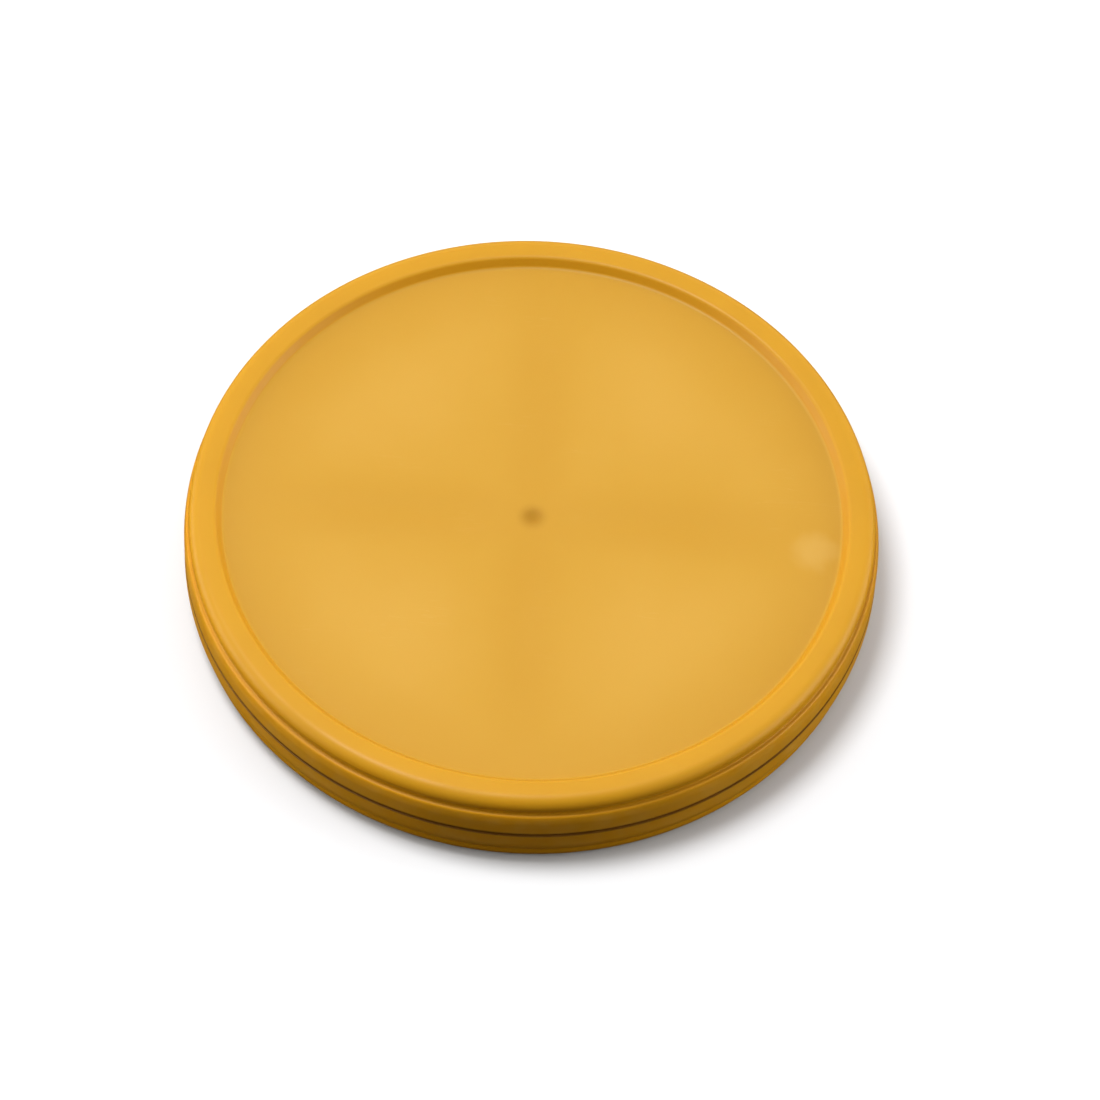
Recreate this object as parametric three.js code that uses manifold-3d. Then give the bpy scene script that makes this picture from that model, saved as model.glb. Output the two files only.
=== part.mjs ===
// Dealer button: a flat round marker, moulded as two identical half shells that close
// round a steel weight. Millimetres, +Z up, origin at the centre of the resting face.

import * as THREE from 'three';
import * as BufferGeometryUtils from 'three/addons/utils/BufferGeometryUtils.js';
import Module from 'manifold-3d';

const wasm = await Module();
wasm.setup();

// Driving dimensions of the whole button
const buttonDiameter = 76.2; // 3 in
const buttonThickness = 11;
const roundSegments = 72;

// Shell outside: rim, recessed face and stepped edge
const recessDepth = 1.0;
const faceRadius = 33.95; // foot of the recess wall
const lipRadius = 34.7; // top of the recess wall
const recessFillet = 0.3; // fillets and rounds are given by how far they cut back from the corner
const rimWallRadius = 37.6; // edge above the flange
const rimFillet = 1.3;
const neckRadius = 37.4; // narrowest place, just above the flange
const neckTop = 0.95; // the edge narrows to the neck between these two
const neckFoot = 0.45; // heights above the flange
const neckFillet = 0.2;
const flangeHeight = 3.2; // half height of the bead around the seam
const shoulderTop = 0.25; // the bead's top edge slopes off over this width
const shoulderDrop = 0.9; // and this height
const shoulderTopRound = 0.2;
const shoulderFootRound = 0.5;
const seamDepth = 0.6; // the V groove at the seam
const seamHalfWidth = 0.2;

// Shell inside: panel, skirt and the channel that keeps the rim's wall even
const panelThickness = 1.6;
const skirtInnerRadius = 35.6;
const channelInnerRadius = 33.4;
const channelOuterRadius = 34.4;
const rimThickness = 1.8;

// Cross ribs, centre boss, pegs and sockets
const ribThickness = 1.3;
const ribGap = 0.15; // the land closes first, so the ribs stop short of the mid plane
const bossRadius = 4.0;
const bossSegments = 24;
const postRadius = 2.0;
const postCircleRadius = 33.0;
const pegAngles = [45, 135]; // degrees from +X
const socketAngles = [225, 315];
const pegRadius = 1.0;
const pegTipRadius = 0.8;
const pegLength = 1.6;
const socketRadius = 1.3;
const socketDepth = 2.0;
const postSegments = 16;
const embed = 0.3; // how far joined shapes run into each other

// Gate mark left at the centre of each moulding
const gateRadius = 1.0;
const gateFloorRadius = 0.4;
const gateDepth = 0.15;

// Steel weight, a plain blanked ring that lies in notches of the ribs
const weightOuterRadius = 30.0;
const weightInnerRadius = 11.0;
const weightThickness = 2.0;
const weightPlay = 0.3; // free height between the two sets of ribs
const weightSideGap = 0.6; // free width at its rims

const halfThickness = buttonThickness / 2;
const outerRadius = buttonDiameter / 2;
const faceHeight = halfThickness - recessDepth;
const panelUnderside = faceHeight - panelThickness;
const channelRoof = halfThickness - rimThickness;
const notchHeight = (weightThickness + weightPlay) / 2;

const shellMaterial = new THREE.MeshStandardMaterial({ color: 0xe6b24b, roughness: 0.42, metalness: 0 });
const steelMaterial = new THREE.MeshStandardMaterial({ color: 0x9c9ea1, roughness: 0.38, metalness: 1 });

// A closed three.js geometry as a manifold solid: vertices joined by position,
// and the empty triangles at a lathe's poles left out
function toSolid(geometry) {
  const bare = geometry.clone();
  bare.deleteAttribute('normal');
  bare.deleteAttribute('uv');
  const merged = BufferGeometryUtils.mergeVertices(bare, 1e-4);
  const index = merged.index.array;
  const triangles = [];
  for (let i = 0; i < index.length; i += 3) {
    const [a, b, c] = [index[i], index[i + 1], index[i + 2]];
    if (a !== b && b !== c && c !== a) triangles.push(a, b, c);
  }
  return new wasm.Manifold(new wasm.Mesh({
    numProp: 3,
    vertProperties: new Float32Array(merged.attributes.position.array),
    triVerts: new Uint32Array(triangles),
  }));
}

function toGeometry(solid) {
  const mesh = solid.getMesh();
  const geometry = new THREE.BufferGeometry();
  geometry.setAttribute('position', new THREE.BufferAttribute(mesh.vertProperties, 3));
  geometry.setIndex(new THREE.BufferAttribute(mesh.triVerts, 1));
  return geometry;
}

// One corner of an outline as an arc that starts and ends cutBack away from it
function roundedCorner(before, corner, after, cutBack, steps) {
  const middle = new THREE.Vector2(...corner);
  const toBefore = new THREE.Vector2(...before).sub(middle).normalize();
  const toAfter = new THREE.Vector2(...after).sub(middle).normalize();
  const halfAngle = toBefore.angleTo(toAfter) / 2;
  const start = toBefore.clone().multiplyScalar(cutBack).add(middle);
  const centre = toBefore.clone().add(toAfter).setLength(cutBack / Math.cos(halfAngle)).add(middle);
  const turn = (2 * halfAngle - Math.PI) * Math.sign(toBefore.cross(toAfter));
  const points = [];
  for (let i = 0; i <= steps; i += 1) {
    points.push(start.clone().rotateAround(centre, (turn * i) / steps).toArray());
  }
  return points;
}

// An outline from rows of [radius, height, cutBack, steps]; a row of two stays sharp
function roundedOutline(rows) {
  return rows.flatMap(([radius, height, cutBack, steps], i) => {
    if (!cutBack) return [[radius, height]];
    return roundedCorner(rows[i - 1].slice(0, 2), [radius, height], rows[i + 1].slice(0, 2), cutBack, steps);
  });
}

// A solid of revolution about Z from an outline of [radius, height] points that runs
// outwards along the top; the lathe takes it the other way round, so its faces point out
function revolve(outline, segments) {
  const points = outline.map(([radius, height]) => new THREE.Vector2(radius, height)).reverse();
  const geometry = new THREE.LatheGeometry(points, segments);
  geometry.rotateX(Math.PI / 2);
  return geometry;
}

// An upright cylinder between two heights; topRadius gives it a taper
function pillar(radius, bottom, top, segments, topRadius = radius) {
  const geometry = new THREE.CylinderGeometry(topRadius, radius, top - bottom, segments);
  geometry.rotateX(Math.PI / 2);
  geometry.translate(0, 0, (top + bottom) / 2);
  return geometry;
}

// Section of the bare half shell, from the face's centre over the rim, down the
// stepped edge to the land on the mid plane, and back along the inside
function shellOutline() {
  return roundedOutline([
    [0, faceHeight],
    [faceRadius, faceHeight, recessFillet, 2],
    [lipRadius, halfThickness, recessFillet, 2],
    [rimWallRadius, halfThickness, rimFillet, 6],
    [rimWallRadius, flangeHeight + neckTop],
    [neckRadius, flangeHeight + neckFoot],
    [neckRadius, flangeHeight, neckFillet, 2],
    [outerRadius - shoulderTop, flangeHeight, shoulderTopRound, 2],
    [outerRadius, flangeHeight - shoulderDrop, shoulderFootRound, 2],
    [outerRadius, seamHalfWidth],
    [outerRadius - seamDepth, 0],
    [skirtInnerRadius, 0],
    [skirtInnerRadius, channelRoof],
    [channelOuterRadius, channelRoof],
    [channelInnerRadius, panelUnderside],
    [0, panelUnderside],
  ]);
}

// One rib across the whole inside, with a notch for the weight on both sides
function ribGeometry() {
  const end = skirtInnerRadius + embed;
  const top = panelUnderside + embed;
  const notchOuter = weightOuterRadius + weightSideGap;
  const notchInner = weightInnerRadius - weightSideGap;
  const side = [
    [notchInner, ribGap], [notchInner, notchHeight],
    [notchOuter, notchHeight], [notchOuter, ribGap],
    [end, ribGap],
  ];
  const shape = new THREE.Shape();
  shape.moveTo(-end, top);
  [...side].reverse().forEach(([x, z]) => shape.lineTo(-x, z));
  side.forEach(([x, z]) => shape.lineTo(x, z));
  shape.lineTo(end, top);
  shape.closePath();
  const geometry = new THREE.ExtrudeGeometry(shape, { depth: ribThickness, bevelEnabled: false });
  geometry.translate(0, 0, -ribThickness / 2);
  geometry.rotateX(Math.PI / 2);
  return geometry;
}

// Places a geometry at an angle on the circle of the posts
function onPostCircle(geometry, angleDeg) {
  const angle = THREE.MathUtils.degToRad(angleDeg);
  geometry.translate(postCircleRadius * Math.cos(angle), postCircleRadius * Math.sin(angle), 0);
  return geometry;
}

// The half shell: pegs stand at y > 0 and sockets at y < 0, so that a second one
// turned over about X closes on it
function halfShellGeometry() {
  let shell = toSolid(revolve(shellOutline(), roundSegments));

  shell = shell.add(toSolid(ribGeometry()));
  shell = shell.add(toSolid(ribGeometry().rotateZ(Math.PI / 2)));
  shell = shell.add(toSolid(pillar(bossRadius, ribGap, panelUnderside + embed, bossSegments)));

  const postTop = channelRoof + embed;
  for (const angle of [...pegAngles, ...socketAngles]) {
    shell = shell.add(toSolid(onPostCircle(pillar(postRadius, 0, postTop, postSegments), angle)));
  }
  for (const angle of pegAngles) {
    const peg = pillar(pegTipRadius, -pegLength, embed, postSegments, pegRadius);
    shell = shell.add(toSolid(onPostCircle(peg, angle)));
  }
  for (const angle of socketAngles) {
    const socket = pillar(socketRadius, -embed, socketDepth, postSegments);
    shell = shell.subtract(toSolid(onPostCircle(socket, angle)));
  }

  const gateFloor = faceHeight - gateDepth;
  // the pocket's taper is carried on above the face
  const widening = (gateRadius - gateFloorRadius) * (embed / gateDepth);
  const pocket = pillar(gateFloorRadius, gateFloor, faceHeight + embed, postSegments, gateRadius + widening);
  shell = shell.subtract(toSolid(pocket));

  return toGeometry(shell);
}

// The weight: a flat ring with square edges, its underside at height 0
function weightGeometry() {
  return revolve([
    [weightInnerRadius, weightThickness],
    [weightOuterRadius, weightThickness],
    [weightOuterRadius, 0],
    [weightInnerRadius, 0],
    [weightInnerRadius, weightThickness],
  ], roundSegments);
}

function named(name, geometry, material) {
  const mesh = new THREE.Mesh(geometry, material);
  mesh.name = name;
  return mesh;
}

const button = new THREE.Group();

const upperShell = named('upper_shell', halfShellGeometry(), shellMaterial);
upperShell.position.z = halfThickness;
button.add(upperShell);

const lowerShell = named('lower_shell', halfShellGeometry(), shellMaterial);
lowerShell.rotation.x = Math.PI;
lowerShell.position.z = halfThickness;
button.add(lowerShell);

// The weight rests on the ribs of the lower shell
const steelWeight = named('steel_weight', weightGeometry(), steelMaterial);
steelWeight.position.z = halfThickness - notchHeight;
button.add(steelWeight);

export default button;
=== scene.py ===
from math import cos, pi, radians, sin

import bpy
from mathutils import Matrix, Vector


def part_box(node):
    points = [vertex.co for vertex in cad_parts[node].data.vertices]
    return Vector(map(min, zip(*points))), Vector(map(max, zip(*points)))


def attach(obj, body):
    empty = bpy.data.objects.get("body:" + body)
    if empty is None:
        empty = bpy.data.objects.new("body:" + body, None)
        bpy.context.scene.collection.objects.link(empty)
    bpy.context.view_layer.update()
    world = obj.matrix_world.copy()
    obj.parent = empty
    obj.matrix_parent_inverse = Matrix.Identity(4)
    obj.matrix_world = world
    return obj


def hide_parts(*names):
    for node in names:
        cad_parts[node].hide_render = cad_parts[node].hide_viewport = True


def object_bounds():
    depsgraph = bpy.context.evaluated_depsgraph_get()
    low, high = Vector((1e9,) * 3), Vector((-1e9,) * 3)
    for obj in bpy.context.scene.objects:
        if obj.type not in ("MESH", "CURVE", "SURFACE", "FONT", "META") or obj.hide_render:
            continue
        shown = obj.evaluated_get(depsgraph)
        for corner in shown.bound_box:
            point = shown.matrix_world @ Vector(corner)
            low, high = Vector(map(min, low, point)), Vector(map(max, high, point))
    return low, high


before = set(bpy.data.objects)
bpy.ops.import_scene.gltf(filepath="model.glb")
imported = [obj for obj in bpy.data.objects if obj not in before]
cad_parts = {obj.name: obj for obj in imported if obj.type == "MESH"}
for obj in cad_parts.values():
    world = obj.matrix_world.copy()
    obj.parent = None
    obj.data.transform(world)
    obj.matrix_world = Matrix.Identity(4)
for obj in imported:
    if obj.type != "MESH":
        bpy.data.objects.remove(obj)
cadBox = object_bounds()

mm = 0.001
outerRadius = cadBox[1].x
topHeight = cadBox[1].z
midHeight = (cadBox[0].z + cadBox[1].z) / 2  # height of the seam
weightLow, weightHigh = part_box("steel_weight")
exact = 0.001 * mm  # how close counts when vertices, edges and faces are picked by place
near = 0.01 * mm
sameCorner = 0.02 * mm


def clearSelection():
    if bpy.context.object and bpy.context.object.mode != "OBJECT":
        bpy.ops.object.mode_set(mode="OBJECT")
    bpy.ops.object.select_all(action="DESELECT")


def useOnly(piece):
    clearSelection()
    piece.select_set(True)
    bpy.context.view_layer.objects.active = piece


def nameIt(name):
    piece = bpy.context.object
    piece.name = name
    piece.data.name = name
    return piece


# Leaves the piece in edit mode with only the vertices, edges or faces that fit the rule selected
def pick(piece, mode, rule):
    useOnly(piece)
    mesh = piece.data
    for part in (mesh.polygons, mesh.edges, mesh.vertices):
        part.foreach_set("select", [False] * len(part))
    chosen = 0
    for part in {"VERT": mesh.vertices, "EDGE": mesh.edges, "FACE": mesh.polygons}[mode]:
        if rule(part):
            part.select = True
            chosen += 1
    bpy.ops.object.mode_set(mode="EDIT")
    bpy.ops.mesh.select_mode(type=mode)
    return chosen


def edgeMiddle(piece, edge):
    a, b = edge.vertices
    return (piece.data.vertices[a].co + piece.data.vertices[b].co) / 2


def cutOrJoin(piece, tool, operation):
    useOnly(piece)
    modifier = piece.modifiers.new("combine", "BOOLEAN")
    modifier.object = tool
    modifier.operation = operation
    modifier.solver = "EXACT"
    bpy.ops.object.modifier_apply(modifier=modifier.name)
    mesh = tool.data
    bpy.data.objects.remove(tool)
    bpy.data.meshes.remove(mesh)


def setPlaceInMesh(piece):
    useOnly(piece)
    bpy.ops.object.transform_apply(location=True, rotation=True, scale=True)


# Half shell: the section is drawn by extruding one point, rounded, and spun about Z
shellShape = {
    "segments": 256,  # steps of the spin
    "faceRadius": 33.95 * mm,  # foot of the recess wall
    "lipRadius": 34.7 * mm,  # top of the recess wall
    "recessDepth": 1.0 * mm,
    "recessFillet": 0.3 * mm,
    "rimWallRadius": 37.6 * mm,
    "rimFillet": 1.3 * mm,
    "neckRadius": 37.4 * mm,
    "neckTop": 0.95 * mm,  # the edge narrows to the neck between these two
    "neckFoot": 0.45 * mm,  # heights above the flange
    "neckFillet": 0.2 * mm,
    "flangeHeight": 3.2 * mm,
    "shoulderTop": 0.25 * mm,  # the bead's top edge slopes off over this width
    "shoulderDrop": 0.9 * mm,  # and this height
    "shoulderTopRound": 0.2 * mm,
    "shoulderFootRound": 0.5 * mm,
    "seamDepth": 0.6 * mm,  # the V groove at the seam
    "seamHalfWidth": 0.2 * mm,
    "panelThickness": 1.6 * mm,
    "skirtInnerRadius": 35.6 * mm,
    "channelInnerRadius": 33.4 * mm,
    "channelOuterRadius": 34.4 * mm,
    "rimThickness": 1.8 * mm,
    "gateRadius": 1.0 * mm,  # dimple that the mould's gate leaves
    "gateDepth": 0.15 * mm,
    "gateFloorRadius": 0.4 * mm,
    "gateRound": 0.25 * mm,
    "faceRings": 44,
    "gateSegments": 4,
    "recessSegments": 5,
    "rimSegments": 9,
    "neckSegments": 3,
    "shoulderTopSegments": 4,
    "shoulderFootSegments": 5,
}

faceHeight = topHeight - shellShape["recessDepth"]
underside = faceHeight - shellShape["panelThickness"]
channelRoof = topHeight - shellShape["rimThickness"]


def drawSection(name, corners):
    clearSelection()
    bpy.ops.mesh.primitive_plane_add(size=mm, location=(0, 0, 0))
    section = nameIt(name)
    bpy.ops.object.mode_set(mode="EDIT")
    bpy.ops.mesh.select_all(action="SELECT")
    bpy.ops.mesh.merge(type="CENTER")
    here = Vector((0, 0, 0))
    first = Vector((corners[0][0], 0, corners[0][1]))
    bpy.ops.transform.translate(value=first - here)
    here = first
    for radius, height in corners[1:]:
        there = Vector((radius, 0, height))
        bpy.ops.mesh.extrude_vertices_move(TRANSFORM_OT_translate={"value": there - here})
        here = there
    bpy.ops.object.mode_set(mode="OBJECT")
    return section


def roundCorner(section, radius, height, offset, segments):
    corner = Vector((radius, 0, height))
    pick(section, "VERT", lambda v: (v.co - corner).length < sameCorner)
    bpy.ops.mesh.bevel(offset=offset, segments=segments, affect="VERTICES", profile=0.5)


def makeBareShell(name):
    s = shellShape
    flangeTop = midHeight + s["flangeHeight"]
    shoulderRadius = outerRadius - s["shoulderTop"]
    shoulderFoot = flangeTop - s["shoulderDrop"]
    gateFloor = faceHeight - s["gateDepth"]
    shell = drawSection(name, [
        (0, gateFloor),
        (s["gateFloorRadius"], gateFloor),
        (s["gateRadius"], faceHeight),
        (s["faceRadius"], faceHeight),
        (s["lipRadius"], topHeight),
        (s["rimWallRadius"], topHeight),
        (s["rimWallRadius"], flangeTop + s["neckTop"]),
        (s["neckRadius"], flangeTop + s["neckFoot"]),
        (s["neckRadius"], flangeTop),
        (shoulderRadius, flangeTop),
        (outerRadius, shoulderFoot),
        (outerRadius, midHeight + s["seamHalfWidth"]),
        (outerRadius - s["seamDepth"], midHeight),
        (s["skirtInnerRadius"], midHeight),
        (s["skirtInnerRadius"], channelRoof),
        (s["channelOuterRadius"], channelRoof),
        (s["channelInnerRadius"], underside),
        (0, underside),
    ])
    for radius, height, offset, segments in (
            (s["gateFloorRadius"], gateFloor, s["gateRound"], s["gateSegments"]),
            (s["gateRadius"], faceHeight, s["gateRound"], s["gateSegments"]),
            (s["faceRadius"], faceHeight, s["recessFillet"], s["recessSegments"]),
            (s["lipRadius"], topHeight, s["recessFillet"], s["recessSegments"]),
            (s["rimWallRadius"], topHeight, s["rimFillet"], s["rimSegments"]),
            (s["neckRadius"], flangeTop, s["neckFillet"], s["neckSegments"]),
            (shoulderRadius, flangeTop, s["shoulderTopRound"], s["shoulderTopSegments"]),
            (outerRadius, shoulderFoot, s["shoulderFootRound"], s["shoulderFootSegments"])):
        roundCorner(shell, radius, height, offset, segments)
    # rings across the face, so that it can sink over the ribs
    pick(shell, "EDGE", lambda e: abs(edgeMiddle(shell, e).z - faceHeight) < exact)
    bpy.ops.mesh.subdivide(number_cuts=s["faceRings"])
    bpy.ops.mesh.select_all(action="SELECT")
    bpy.ops.mesh.spin(steps=s["segments"], angle=2 * pi, center=(0, 0, 0), axis=(0, 0, 1))
    bpy.ops.mesh.select_all(action="SELECT")
    bpy.ops.mesh.remove_doubles(threshold=exact)
    bpy.ops.mesh.normals_make_consistent(inside=False)
    clearSelection()
    return shell


# Sink marks: the moulding draws in where ribs stand behind the face and pillows between them
sinkShape = {
    "overRibs": -0.018 * mm,
    "overRibsReach": 1.4 * mm,
    "pillow": 0.035 * mm,
    "pillowPlace": 20 * mm,  # from the axis, in each quarter
    "pillowTop": 1.5 * mm,
    "pillowReach": 13 * mm,
    "ribEnd": 31 * mm,
}


# Only the face itself, short of the wall's fillet
def onFace(vertex):
    flat = vertex.co.xy.length
    return abs(vertex.co.z - faceHeight) < 0.1 * mm and flat < shellShape["faceRadius"] - 1 * mm


def nudge(height, reach):
    bpy.ops.transform.translate(
        value=(0, 0, height), use_proportional_edit=True,
        proportional_edit_falloff="SMOOTH", proportional_size=reach)


def sinkFace(shell):
    s = sinkShape
    for quarter in range(4):
        angle = radians(45 + 90 * quarter)
        middle = Vector((cos(angle), sin(angle))) * s["pillowPlace"]
        pick(shell, "VERT", lambda v: onFace(v) and (v.co.xy - middle).length < s["pillowTop"])
        nudge(s["pillow"], s["pillowReach"])
    half = insideShape["ribThickness"] / 2
    pick(shell, "VERT", lambda v: (
        onFace(v) and min(abs(v.co.x), abs(v.co.y)) < half
        and insideShape["bossRadius"] < v.co.xy.length < s["ribEnd"]))
    nudge(s["overRibs"], s["overRibsReach"])
    clearSelection()


# Ribs, boss, posts, pegs and sockets of one half; the other half is the same, turned over
insideShape = {
    "ribThickness": 1.3 * mm,
    "ribGap": 0.15 * mm,  # the ribs stop short of the mid plane, so that the lands close first
    "bossRadius": 4.0 * mm,
    "postRadius": 2.0 * mm,
    "postCircle": 33.0 * mm,
    "postAngles": (45, 135, 225, 315),
    "pegRadius": 1.0 * mm,
    "pegTipRadius": 0.8 * mm,
    "pegLength": 1.6 * mm,
    "pegAngles": (45, 135),
    "socketRadius": 1.3 * mm,
    "socketDepth": 2.0 * mm,
    "socketAngles": (225, 315),
    "notchSideGap": 0.6 * mm,  # free room round the weight's two rims
    "edgeRound": 0.12 * mm,
    "embed": 0.3 * mm,  # how far joined shapes run into each other
}


# Steel weight: a blanked ring with a rolled-over top edge and a sharper underside
weightShape = {
    "segments": 192,
    "innerRadius": 11.0 * mm,
    "rollOver": 0.22 * mm,  # top edges, drawn down by the punch
    "rollOverSegments": 4,
    "burr": 0.06 * mm,  # bottom edges
    "burrSegments": 2,
}


def onPostCircle(angle, height):
    a = radians(angle)
    return insideShape["postCircle"] * cos(a), insideShape["postCircle"] * sin(a), height


def addCylinder(name, radius, low, high, x=0, y=0, vertices=48, lowRadius=None):
    clearSelection()
    bpy.ops.mesh.primitive_cone_add(
        vertices=vertices, radius1=lowRadius or radius, radius2=radius, depth=high - low,
        location=(x, y, (low + high) / 2))
    piece = nameIt(name)
    setPlaceInMesh(piece)
    return piece


# Rounds the edges that face the mid plane, as a mould's corners do
def softenEnd(piece, height):
    pick(piece, "EDGE", lambda e: abs(edgeMiddle(piece, e).z - height) < near)
    bpy.ops.mesh.bevel(offset=insideShape["edgeRound"], segments=2, affect="EDGES")
    clearSelection()


def makeRib(name, angle):
    s = insideShape
    low = midHeight + s["ribGap"]
    high = underside + s["embed"]
    end = shellShape["skirtInnerRadius"] + s["embed"]
    clearSelection()
    bpy.ops.mesh.primitive_cube_add(
        size=1, location=(0, 0, (low + high) / 2),
        scale=(2 * end, s["ribThickness"], high - low))
    rib = nameIt(name)
    setPlaceInMesh(rib)
    softenEnd(rib, low)
    # notches that the weight lies in
    inner = weightShape["innerRadius"] - s["notchSideGap"]
    outer = weightHigh.x + s["notchSideGap"]
    for side in (-1, 1):
        bpy.ops.mesh.primitive_cube_add(
            size=1, location=(side * (inner + outer) / 2, 0, midHeight),
            scale=(outer - inner, 4 * s["ribThickness"], 2 * (midHeight - weightLow.z)))
        notch = nameIt("notch")
        setPlaceInMesh(notch)
        cutOrJoin(rib, notch, "DIFFERENCE")
    useOnly(rib)
    bpy.ops.transform.rotate(value=radians(angle), orient_axis="Z", center_override=(0, 0, 0))
    setPlaceInMesh(rib)
    return rib


def fitInside(shell):
    s = insideShape
    low = midHeight + s["ribGap"]
    fittings = makeRib("ribs", 0)
    cutOrJoin(fittings, makeRib("crossRib", 90), "UNION")
    boss = addCylinder("boss", s["bossRadius"], low, underside + s["embed"], vertices=64)
    softenEnd(boss, low)
    cutOrJoin(fittings, boss, "UNION")
    for angle in s["postAngles"]:
        x, y, z = onPostCircle(angle, midHeight)
        post = addCylinder("post", s["postRadius"], z, channelRoof + s["embed"], x, y)
        if angle in s["pegAngles"]:
            tip = z - s["pegLength"]
            peg = addCylinder("peg", s["pegRadius"], tip, z + s["embed"], x, y, lowRadius=s["pegTipRadius"])
            softenEnd(peg, tip)
            cutOrJoin(post, peg, "UNION")
        useOnly(post)
        fittings.select_set(True)
        bpy.context.view_layer.objects.active = fittings
        bpy.ops.object.join()
    cutOrJoin(shell, fittings, "UNION")
    for angle in s["socketAngles"]:
        x, y, z = onPostCircle(angle, midHeight)
        socket = addCylinder("socket", s["socketRadius"], z - s["embed"], z + s["socketDepth"], x, y)
        cutOrJoin(shell, socket, "DIFFERENCE")


def makeWeight():
    s = weightShape
    middle = (weightLow.z + weightHigh.z) / 2
    clearSelection()
    bpy.ops.mesh.primitive_cylinder_add(
        vertices=s["segments"], radius=weightHigh.x, depth=weightHigh.z - weightLow.z,
        location=(0, 0, middle))
    weight = nameIt("SteelWeight")
    setPlaceInMesh(weight)
    pick(weight, "FACE", lambda f: abs(f.normal.z) > 0.9)
    bpy.ops.mesh.inset(thickness=weightHigh.x - s["innerRadius"])
    bpy.ops.mesh.delete(type="FACE")  # opens the hole through both caps

    def onRim(edge, radius):
        return abs(edgeMiddle(weight, edge).xy.length - radius) < 0.1 * mm

    pick(weight, "EDGE", lambda e: (
        onRim(e, s["innerRadius"]) and abs(edgeMiddle(weight, e).z - middle) > 0.1 * mm))
    bpy.ops.mesh.bridge_edge_loops()
    for height, offset, segments in (
            (weightHigh.z, s["rollOver"], s["rollOverSegments"]),
            (weightLow.z, s["burr"], s["burrSegments"])):
        pick(weight, "EDGE", lambda e: (
            abs(edgeMiddle(weight, e).z - height) < near
            and (onRim(e, s["innerRadius"]) or onRim(e, weightHigh.x))))
        bpy.ops.mesh.bevel(offset=offset, segments=segments, affect="EDGES")
    bpy.ops.mesh.select_all(action="SELECT")
    bpy.ops.mesh.normals_make_consistent(inside=False)
    useOnly(weight)
    bpy.ops.object.shade_smooth_by_angle(angle=radians(30))
    return weight


upperShell = makeBareShell("UpperShell")
sinkFace(upperShell)
print("half shell: section spun and face sunk")
fitInside(upperShell)
print("half shell: ribs, boss, posts, pegs and sockets joined", len(upperShell.data.polygons), "faces")


# Finishes are put on by place: 0 the glossy rim and edge, 1 the satin face, 2 the inside
def faceFinish(face):
    place = face.center
    flat = place.xy.length
    if flat < shellShape["faceRadius"] and place.z > faceHeight - 0.5 * mm:
        return 1
    insideWall = flat < shellShape["skirtInnerRadius"] + near and place.z < channelRoof + near
    land = abs(place.z - midHeight) < near
    return 2 if insideWall or land else 0


def assignFinishes(piece, materials, rule):
    piece.data.materials.clear()
    for material in materials:
        piece.data.materials.append(material)
    for slot in range(len(materials)):
        if pick(piece, "FACE", lambda f: rule(f) == slot):
            piece.active_material_index = slot
            bpy.ops.object.material_slot_assign()
    clearSelection()


# Adds a node; a value given for a socket is set on it, another socket is linked to it
def put(tree, kind, inputs=None, **settings):
    node = tree.nodes.new("ShaderNode" + kind)
    node.location = (200 * len(tree.nodes), 0)
    for key, value in settings.items():
        setattr(node, key, value)
    for key, value in (inputs or {}).items():
        if isinstance(value, bpy.types.NodeSocket):
            tree.links.new(value, node.inputs[key])
        else:
            node.inputs[key].default_value = value
    return node


def calc(tree, operation, first, second=0.0):
    return put(tree, "Math", {0: first, 1: second}, operation=operation).outputs[0]


def share(tree, mask, amount):
    return calc(tree, "MULTIPLY", mask, amount)


# 0 below low, 1 above high and a soft step between; low may be the greater one
def softStep(tree, value, low, high):
    inputs = {"Value": value, "From Min": low, "From Max": high}
    return put(tree, "MapRange", inputs, interpolation_type="SMOOTHSTEP").outputs["Result"]


def blendColor(tree, amount, first, second):
    mix = put(tree, "Mix", {"Factor": amount}, data_type="RGBA")
    for key, value in ((6, first), (7, second)):
        if isinstance(value, bpy.types.NodeSocket):
            tree.links.new(value, mix.inputs[key])
        else:
            mix.inputs[key].default_value = value
    return mix.outputs[2]


def noise(tree, place, scale, detail=2.0, roughness=0.5):
    inputs = {"Vector": place, "Scale": scale, "Detail": detail, "Roughness": roughness}
    return put(tree, "TexNoise", inputs, noise_dimensions="3D").outputs[0]


def objectPlace(tree):
    return put(tree, "TexCoord").outputs["Object"]


def distanceFromAxis(tree, place):
    flat = put(tree, "VectorMath", {0: place, 1: (1, 1, 0)}, operation="MULTIPLY").outputs[0]
    return put(tree, "VectorMath", {0: flat}, operation="LENGTH").outputs["Value"]


def startGroup(name, inputs, outputs):
    group = bpy.data.node_groups.new(name, "ShaderNodeTree")
    for socketName, value in inputs.items():
        socket = group.interface.new_socket(
            name=socketName, in_out="INPUT", socket_type="NodeSocketFloat")
        socket.default_value = value
    for socketName in outputs:
        group.interface.new_socket(
            name=socketName, in_out="OUTPUT", socket_type="NodeSocketFloat")
    return group, group.nodes.new("NodeGroupInput").outputs


def endGroup(group, **results):
    output = group.nodes.new("NodeGroupOutput")
    output.location = (200 * len(group.nodes), 0)
    for key, value in results.items():
        group.links.new(value, output.inputs[key])
    return group


def useGroup(tree, group, **values):
    node = tree.nodes.new("ShaderNodeGroup")
    node.location = (200 * len(tree.nodes), -300)
    node.node_tree = group
    for key, value in values.items():
        node.inputs[key].default_value = value
    return node.outputs


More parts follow.
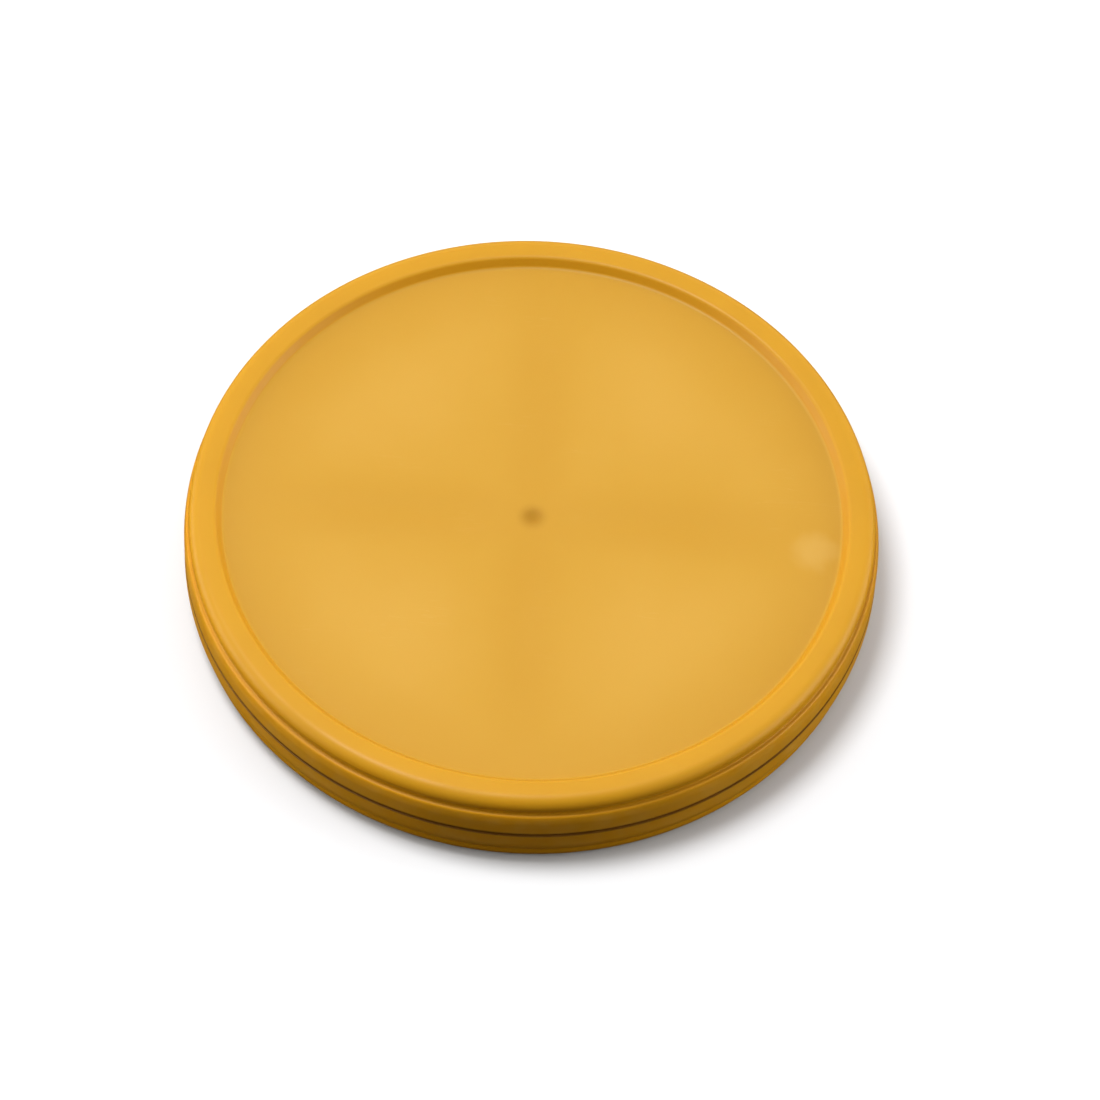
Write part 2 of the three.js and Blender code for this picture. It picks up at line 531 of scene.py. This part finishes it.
# Fine spark-eroded grain of a mould, or the grain of rolled metal: Height for a bump, Cloud for colour
def makeGrain():
    group, given = startGroup(
        "mouldGrain", {"GrainScale": 4000, "CloudScale": 60}, ["Height", "Cloud"])
    place = objectPlace(group)
    fine = noise(group, place, given["GrainScale"], 3.0, 0.6)
    cloud = noise(group, place, given["CloudScale"], 3.0, 0.5)
    return endGroup(group, Height=fine, Cloud=softStep(group, cloud, 0.3, 0.7))


# Marks of handling: soft smudges, and hairline scratches that come and go
def makeHandling():
    group, given = startGroup(
        "handlingMarks", {"SmudgeScale": 70, "ScratchScale": 60}, ["Smudge", "Scratch"])
    place = objectPlace(group)
    smudge = softStep(group, noise(group, place, given["SmudgeScale"], 4.0, 0.6), 0.45, 0.75)
    hairlines = []
    for turn in (25, 118):
        inputs = {"Vector": place, "Rotation": (0, 0, radians(turn)), "Scale": (1, 22, 1)}
        along = put(group, "Mapping", inputs).outputs[0]
        crest = calc(group, "SUBTRACT", noise(group, along, given["ScratchScale"]), 0.5)
        hairlines.append(softStep(group, calc(group, "ABSOLUTE", crest), 0.006, 0.0))
    patches = softStep(group, noise(group, place, 130, 1.0), 0.55, 0.7)
    scratch = calc(group, "MULTIPLY", calc(group, "MAXIMUM", *hairlines), patches)
    return endGroup(group, Smudge=smudge, Scratch=scratch)


# Rubbed band round the axis: strongest at Radius, gone Band away from it, broken up by noise
def makeRub():
    group, given = startGroup(
        "rubbedBand", {"Radius": 0.038, "Band": 0.0005, "Breakup": 300}, ["Mask"])
    place = objectPlace(group)
    beyond = calc(group, "SUBTRACT", distanceFromAxis(group, place), given["Radius"])
    away = calc(group, "ABSOLUTE", beyond)
    band = softStep(group, calc(group, "DIVIDE", away, given["Band"]), 1.0, 0.0)
    broken = softStep(group, noise(group, place, given["Breakup"], 3.0, 0.6), 0.35, 0.7)
    return endGroup(group, Mask=calc(group, "MULTIPLY", band, broken))


# Painted shade and sheen of the ribs behind the face: a darker cross over them and paler quarters between
# its arms
def makeRibShadeAndSheen():
    group, given = startGroup(
        "ribShadeAndSheen", {"ArmAlongY": 0.0005, "ArmAlongX": 0.001, "Soft": 0.005, "Reach": 0.034},
        ["Cross", "Quarter"])
    place = objectPlace(group)
    axes = put(group, "SeparateXYZ", {"Vector": place}).outputs
    x, y = (calc(group, "ABSOLUTE", axes[key]) for key in ("X", "Y"))
    arms = []
    for across, width in ((x, given["ArmAlongY"]), (y, given["ArmAlongX"])):
        arms.append(softStep(group, across, calc(group, "ADD", width, given["Soft"]), width))
    radius = distanceFromAxis(group, place)
    within = softStep(group, radius, given["Reach"], calc(group, "MULTIPLY", given["Reach"], 0.6))
    cross = calc(group, "MULTIPLY", calc(group, "MAXIMUM", *arms), within)
    besideX, besideY = (softStep(group, across, 0.001, 0.014) for across in (x, y))
    quarter = calc(group, "MULTIPLY", calc(group, "MULTIPLY", besideX, besideY), within)
    return endGroup(group, Cross=cross, Quarter=quarter)


mouldGrain = makeGrain()
handlingMarks = makeHandling()
rubbedBand = makeRub()
ribShadeAndSheen = makeRibShadeAndSheen()


def startMaterial(name):
    material = bpy.data.materials.new(name)
    material.use_nodes = True
    tree = material.node_tree
    return material, tree, tree.nodes["Principled BSDF"].inputs


amberLook = {
    "body": (0.375, 0.195, 0.012, 1),
    "paleSheenAndTone": (0.405, 0.221, 0.025, 1),  # painted sheen on the face's quarters between the ribs, and random pale clouds
    "deepShadeAndTone": (0.345, 0.167, 0.007, 1),  # painted shade over the ribs and towards the recess wall; on the rim, random deeper clouds
    # a little brighter and more saturated than the body: painted light on the rim
    "rim": (0.400, 0.196, 0.008, 1),
    "wall": (0.375, 0.170, 0.005, 1),  # painted shade on the recess wall
    # deeper orange: painted shade hue of the sides; inside, a random tone
    "edge": (0.450, 0.200, 0.004, 1),
    # near black: painted shade in the seam groove
    "grime": (0.090, 0.030, 0.002, 1),
    "gate": (0.250, 0.115, 0.004, 1),
    # pale wear for scratches and rubbed bands, and the painted highlight spot on the face
    "rubbedAndHighlight": (0.480, 0.300, 0.080, 1),
    "inside": (0.350, 0.165, 0.010, 1),
    "glow": 0.10,  # light that wanders through the plastic
    "glowDepth": 1.5 * mm,
}


def setGlow(sockets):
    sockets["Subsurface Weight"].default_value = amberLook["glow"]
    sockets["Subsurface Radius"].default_value = (1.0, 0.4, 0.1)
    sockets["Subsurface Scale"].default_value = amberLook["glowDepth"]


def addBump(tree, sockets, height, strength, distance):
    inputs = {"Height": height, "Strength": strength, "Distance": distance}
    tree.links.new(put(tree, "Bump", inputs).outputs["Normal"], sockets["Normal"])


# Amounts are shares of the colour that is mixed in, or what is added to the roughness
faceLook = {
    "roughness": 0.45,
    "specular": 0.2,
    "quarterSheen": 0.6,
    "milkyClouds": 0.2,
    "ribShade": 0.3,
    "shadeTowardsWall": 0.35,  # painted shade towards the recess wall, between these two distances from the axis
    "deepFrom": 24 * mm,
    "deepTo": 34 * mm,
    "gateShare": 0.85,
    "gateFrom": 2.1 * mm,
    "gateTo": 0.2 * mm,
    "gateRoughness": 0.35,
    "highlightSpot": (30.9 * mm, -2.5 * mm),  # painted highlight: one pale spot on the upper face
    "highlightShare": 0.3,
    "highlightFrom": 4.2 * mm,
    "highlightTo": 2.0 * mm,
    "highlightWander": 1.6 * mm,
    "scratchShare": 0.12,
    "smudgeRoughness": 0.08,
    "cloudRoughness": 0.04,
    "bumpStrength": 0.25,
    "bumpDepth": 0.03 * mm,
}


def makeSatinFace():
    material, tree, sockets = startMaterial("satinFace")
    look = faceLook
    place = objectPlace(tree)
    radius = distanceFromAxis(tree, place)
    grain = useGroup(tree, mouldGrain, GrainScale=3500, CloudScale=75)
    marks = useGroup(tree, handlingMarks, SmudgeScale=80, ScratchScale=45)
    ribShading = useGroup(tree, ribShadeAndSheen)
    # painted sheen on the quarters between the ribs, mixed with random pale clouds
    sheenAndClouds = calc(
        tree, "ADD", share(tree, ribShading["Quarter"], look["quarterSheen"]),
        share(tree, grain["Cloud"], look["milkyClouds"]))
    color = blendColor(tree, sheenAndClouds, amberLook["body"], amberLook["paleSheenAndTone"])
    # painted shade over the ribs
    color = blendColor(tree, share(tree, ribShading["Cross"], look["ribShade"]), color, amberLook["deepShadeAndTone"])
    # painted shade towards the recess wall
    towardsWallShade = softStep(tree, radius, look["deepFrom"], look["deepTo"])
    color = blendColor(tree, share(tree, towardsWallShade, look["shadeTowardsWall"]), color, amberLook["deepShadeAndTone"])
    gate = softStep(tree, radius, look["gateFrom"], look["gateTo"])
    color = blendColor(tree, share(tree, gate, look["gateShare"]), color, amberLook["gate"])
    # painted highlight: a pale spot near the right of the face
    highlightMiddle = (*look["highlightSpot"], topHeight)
    away = put(tree, "VectorMath", {0: place, 1: highlightMiddle}, operation="DISTANCE").outputs["Value"]
    ragged = calc(tree, "ADD", away, share(tree, noise(tree, place, 400), look["highlightWander"]))
    highlightSpot = softStep(tree, ragged, look["highlightFrom"], look["highlightTo"])
    color = blendColor(tree, share(tree, highlightSpot, look["highlightShare"]), color, amberLook["rubbedAndHighlight"])
    scratch = share(tree, marks["Scratch"], look["scratchShare"])
    color = blendColor(tree, scratch, color, amberLook["rubbedAndHighlight"])
    tree.links.new(color, sockets["Base Color"])
    rough = look["roughness"]
    for mask, amount in (
            (marks["Smudge"], look["smudgeRoughness"]),
            (grain["Cloud"], look["cloudRoughness"]),
            (gate, look["gateRoughness"])):
        rough = calc(tree, "ADD", share(tree, mask, amount), rough)
    tree.links.new(rough, sockets["Roughness"])
    addBump(tree, sockets, grain["Height"], look["bumpStrength"], look["bumpDepth"])
    sockets["Specular IOR Level"].default_value = look["specular"]
    setGlow(sockets)
    return material


rimLook = {
    "roughness": 0.4,
    "specular": 0.15,
    "edgeFrom": 5.4 * mm,  # the sides are painted a deeper orange, the hue of this plastic in shade, by distance from the seam
    "edgeTo": 4.2 * mm,
    "deepClouds": 0.3,
    "wornShare": 0.18,  # widest place of the edge, rubbed by the table and the hand
    "wornBand": 0.25 * mm,
    "wornRoughness": 0.15,
    "wallFrom": 0.05 * mm,  # painted shade on the recess wall, by distance from its lip
    "wallTo": -0.25 * mm,
    "grimeShare": 0.85,  # painted shade in the seam groove
    "grimeFrom": 0.50 * mm,
    "grimeTo": 0.15 * mm,
    "smudgeRoughness": 0.14,
    "grainHeight": 0.6,
    "bumpStrength": 0.15,
    "bumpDepth": 0.03 * mm,
}


def makeGlossyRim():
    material, tree, sockets = startMaterial("glossyRim")
    look = rimLook
    lip = shellShape["lipRadius"]
    place = objectPlace(tree)
    radius = distanceFromAxis(tree, place)
    grain = useGroup(tree, mouldGrain, GrainScale=2500, CloudScale=110)
    marks = useGroup(tree, handlingMarks, SmudgeScale=120, ScratchScale=90)
    worn = useGroup(tree, rubbedBand, Radius=outerRadius, Band=look["wornBand"], Breakup=420)["Mask"]
    height = put(tree, "SeparateXYZ", {"Vector": place}).outputs["Z"]
    fromSeam = calc(tree, "ABSOLUTE", calc(tree, "SUBTRACT", height, midHeight))
    # sides painted a deeper orange, the hue of this plastic in shade
    shadedSides = softStep(tree, fromSeam, look["edgeFrom"], look["edgeTo"])
    color = blendColor(tree, shadedSides, amberLook["rim"], amberLook["edge"])
    color = blendColor(tree, share(tree, grain["Cloud"], look["deepClouds"]), color, amberLook["deepShadeAndTone"])
    color = blendColor(tree, share(tree, worn, look["wornShare"]), color, amberLook["rubbedAndHighlight"])
    # painted shade on the recess wall
    onShadedWall = softStep(tree, radius, lip + look["wallFrom"], lip + look["wallTo"])
    color = blendColor(tree, onShadedWall, color, amberLook["wall"])
    # painted shade in the seam groove
    grime = softStep(tree, fromSeam, look["grimeFrom"], look["grimeTo"])
    color = blendColor(tree, share(tree, grime, look["grimeShare"]), color, amberLook["grime"])
    tree.links.new(color, sockets["Base Color"])
    rough = calc(tree, "ADD", share(tree, marks["Smudge"], look["smudgeRoughness"]), look["roughness"])
    rough = calc(tree, "ADD", share(tree, worn, look["wornRoughness"]), rough)
    tree.links.new(rough, sockets["Roughness"])
    lines = calc(tree, "SUBTRACT", share(tree, grain["Height"], look["grainHeight"]), marks["Scratch"])
    addBump(tree, sockets, lines, look["bumpStrength"], look["bumpDepth"])
    sockets["Specular IOR Level"].default_value = look["specular"]
    setGlow(sockets)
    return material


insideLook = {
    "roughness": 0.5,
    "edgeClouds": 0.5,
    "scratchShare": 0.3,
    "smudgeRoughness": 0.1,
    "bumpStrength": 0.4,
    "bumpDepth": 0.05 * mm,
}


def makeMouldedInside():
    material, tree, sockets = startMaterial("mouldedInside")
    look = insideLook
    grain = useGroup(tree, mouldGrain, GrainScale=1800, CloudScale=140)
    marks = useGroup(tree, handlingMarks, SmudgeScale=160, ScratchScale=70)
    clouds = share(tree, grain["Cloud"], look["edgeClouds"])
    color = blendColor(tree, clouds, amberLook["inside"], amberLook["edge"])
    scratch = share(tree, marks["Scratch"], look["scratchShare"])
    color = blendColor(tree, scratch, color, amberLook["rubbedAndHighlight"])
    tree.links.new(color, sockets["Base Color"])
    rough = calc(tree, "ADD", share(tree, marks["Smudge"], look["smudgeRoughness"]), look["roughness"])
    tree.links.new(rough, sockets["Roughness"])
    addBump(tree, sockets, grain["Height"], look["bumpStrength"], look["bumpDepth"])
    setGlow(sockets)
    return material


steelLook = {
    "bright": (0.62, 0.62, 0.61, 1),
    "rolled": (0.40, 0.41, 0.43, 1),
    "scale": (0.17, 0.16, 0.16, 1),  # thin dark mill scale in patches
    "scaleShare": 0.6,
    "roughness": 0.34,
    "scaleRoughness": 0.25,
    "cloudRoughness": 0.06,
    "wornBand": 0.6 * mm,
    "grainHeight": 0.5,
    "bumpStrength": 0.3,
    "bumpDepth": 0.04 * mm,
}


def makeRolledSteel():
    material, tree, sockets = startMaterial("rolledSteel")
    look = steelLook
    place = objectPlace(tree)
    grain = useGroup(tree, mouldGrain, GrainScale=2200, CloudScale=90)
    marks = useGroup(tree, handlingMarks, SmudgeScale=60, ScratchScale=50)
    rims = []
    for radius in (weightHigh.x, weightShape["innerRadius"]):
        band = useGroup(tree, rubbedBand, Radius=radius, Band=look["wornBand"], Breakup=500)
        rims.append(band["Mask"])
    drawnOut = put(tree, "Mapping", {"Vector": place, "Scale": (0.04, 1, 1)}).outputs[0]
    streaks = noise(tree, drawnOut, 1500, 2.0)
    color = blendColor(tree, softStep(tree, streaks, 0.35, 0.65), look["rolled"], look["bright"])
    color = blendColor(tree, share(tree, marks["Smudge"], look["scaleShare"]), color, look["scale"])
    color = blendColor(tree, calc(tree, "MAXIMUM", *rims), color, look["bright"])
    tree.links.new(color, sockets["Base Color"])
    sockets["Metallic"].default_value = 1.0
    rough = calc(tree, "ADD", share(tree, marks["Smudge"], look["scaleRoughness"]), look["roughness"])
    rough = calc(tree, "ADD", share(tree, grain["Cloud"], look["cloudRoughness"]), rough)
    tree.links.new(rough, sockets["Roughness"])
    lines = calc(tree, "ADD", streaks, share(tree, grain["Height"], look["grainHeight"]))
    addBump(tree, sockets, lines, look["bumpStrength"], look["bumpDepth"])
    return material


useOnly(upperShell)
bpy.ops.object.shade_smooth_by_angle(angle=radians(30))
assignFinishes(upperShell, [makeGlossyRim(), makeSatinFace(), makeMouldedInside()], faceFinish)
print("upper half: three finishes on")

useOnly(upperShell)
bpy.ops.object.duplicate()
lowerShell = nameIt("LowerShell")
bpy.ops.transform.rotate(value=pi, orient_axis="X", center_override=(0, 0, midHeight))
setPlaceInMesh(lowerShell)

steelWeight = makeWeight()
steelWeight.data.materials.append(makeRolledSteel())
print("lower half copied and turned over, weight blanked")

for piece, node, slot in (
        (upperShell, "upper_shell", "amber_plastic"),
        (lowerShell, "lower_shell", "amber_plastic"),
        (steelWeight, "steel_weight", "steel")):
    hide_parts(node)
    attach(piece, "root")


studio = {
    "floorRadius": 0.3,
    "floorHeight": -0.02 * mm,  # a hair below the rim, so that the two don't flicker through each other
    "floorColor": (0.60, 0.605, 0.62, 1),
    "floorThrowback": (0.045, 0.03, 0.016, 1),  # what the button's sides get back from the floor
    "skyDark": (0.045, 0.03, 0.018, 1),
    "skyBright": (1.2, 1.2, 1.21, 1),
    "skyTowards": (0.05, 1.0, 0.25),  # where the sky is brightest
    "skyEdge": (-0.6, 0.45),  # dark below the first share of that direction, bright above the second
    "sidePanels": (7.0, 7.0, 6.6, 1),  # bright panels low on the left and right
    "sidePanelEdge": (0.75, 1.0),
    "backdrop": (1, 1, 1, 1),  # the sky as the camera sees it
    "keyPower": 6.0,
    "keySize": 0.30,
    "keyDistance": 0.8,
    "keyAzimuth": 168,  # counter-clockwise from +X
    "keyElevation": 75,
}


def makeFloor():
    clearSelection()
    bpy.ops.mesh.primitive_circle_add(
        vertices=64, radius=studio["floorRadius"], fill_type="NGON",
        location=(0, 0, studio["floorHeight"]))
    floor = nameIt("floor")
    material, tree, sockets = startMaterial("paleFloor")
    sockets["Roughness"].default_value = 0.9
    sockets["Specular IOR Level"].default_value = 0.1
    seen = put(tree, "LightPath").outputs["Is Camera Ray"]
    color = blendColor(tree, seen, studio["floorThrowback"], studio["floorColor"])
    tree.links.new(color, sockets["Base Color"])
    floor.data.materials.append(material)


def makeSky():
    world = bpy.data.worlds.new("studioSky")
    bpy.context.scene.world = world
    world.use_nodes = True
    tree = world.node_tree
    towards = Vector(studio["skyTowards"]).normalized()
    place = put(tree, "TexCoord").outputs["Generated"]
    along = put(tree, "VectorMath", {0: place, 1: towards}, operation="DOT_PRODUCT").outputs["Value"]
    bright = softStep(tree, along, *studio["skyEdge"])
    color = blendColor(tree, bright, studio["skyDark"], studio["skyBright"])
    sideways = calc(tree, "ABSOLUTE", put(tree, "SeparateXYZ", {"Vector": place}).outputs["X"])
    onPanel = softStep(tree, sideways, *studio["sidePanelEdge"])
    color = blendColor(tree, onPanel, color, studio["sidePanels"])
    seen = put(tree, "LightPath").outputs["Is Camera Ray"]
    color = blendColor(tree, seen, color, studio["backdrop"])
    tree.links.new(color, tree.nodes["Background"].inputs["Color"])


def makeKeyLight():
    target = Vector((0, 0, midHeight))
    a, e = radians(studio["keyAzimuth"]), radians(studio["keyElevation"])
    towards = Vector((cos(a) * cos(e), sin(a) * cos(e), sin(e)))
    bpy.ops.object.light_add(type="AREA", location=target + studio["keyDistance"] * towards)
    lamp = bpy.context.object
    lamp.name = "keyLight"
    lamp.data.shape = "DISK"
    lamp.data.size = studio["keySize"]
    lamp.data.energy = studio["keyPower"]
    lamp.rotation_euler = (-towards).to_track_quat("-Z", "Y").to_euler()


makeFloor()
makeSky()
makeKeyLight()


cameraLook = {
    "elevation": 55.85,
    "distanceInRadii": 18.0,
    "roll": 3.24,
    "discShare": 0.315,  # outer radius as a share of the picture's width
    "aimRight": 0.0538,
    "aimDown": 0.0294,
    "sensorWidth": 36,
}


def makeCamera():
    look = cameraLook
    distance = look["distanceInRadii"] * outerRadius
    bpy.ops.object.camera_add()
    camera = bpy.context.object
    camera.name = "camera"
    camera.data.sensor_width = look["sensorWidth"]
    camera.data.lens = look["sensorWidth"] * look["discShare"] * look["distanceInRadii"]
    tilt = Matrix.Rotation(radians(90 - look["elevation"]), 4, "X")
    turn = tilt @ Matrix.Rotation(radians(look["roll"]), 4, "Z")
    right, up, back = (turn.col[i].xyz for i in range(3))
    target = Vector((0, 0, midHeight)) + outerRadius * (look["aimRight"] * right - look["aimDown"] * up)
    camera.matrix_world = Matrix.Translation(target + distance * back) @ turn
    bpy.context.scene.camera = camera


makeCamera()
bpy.context.scene.view_settings.view_transform = "Standard"
print("floor, sky, light and camera set")
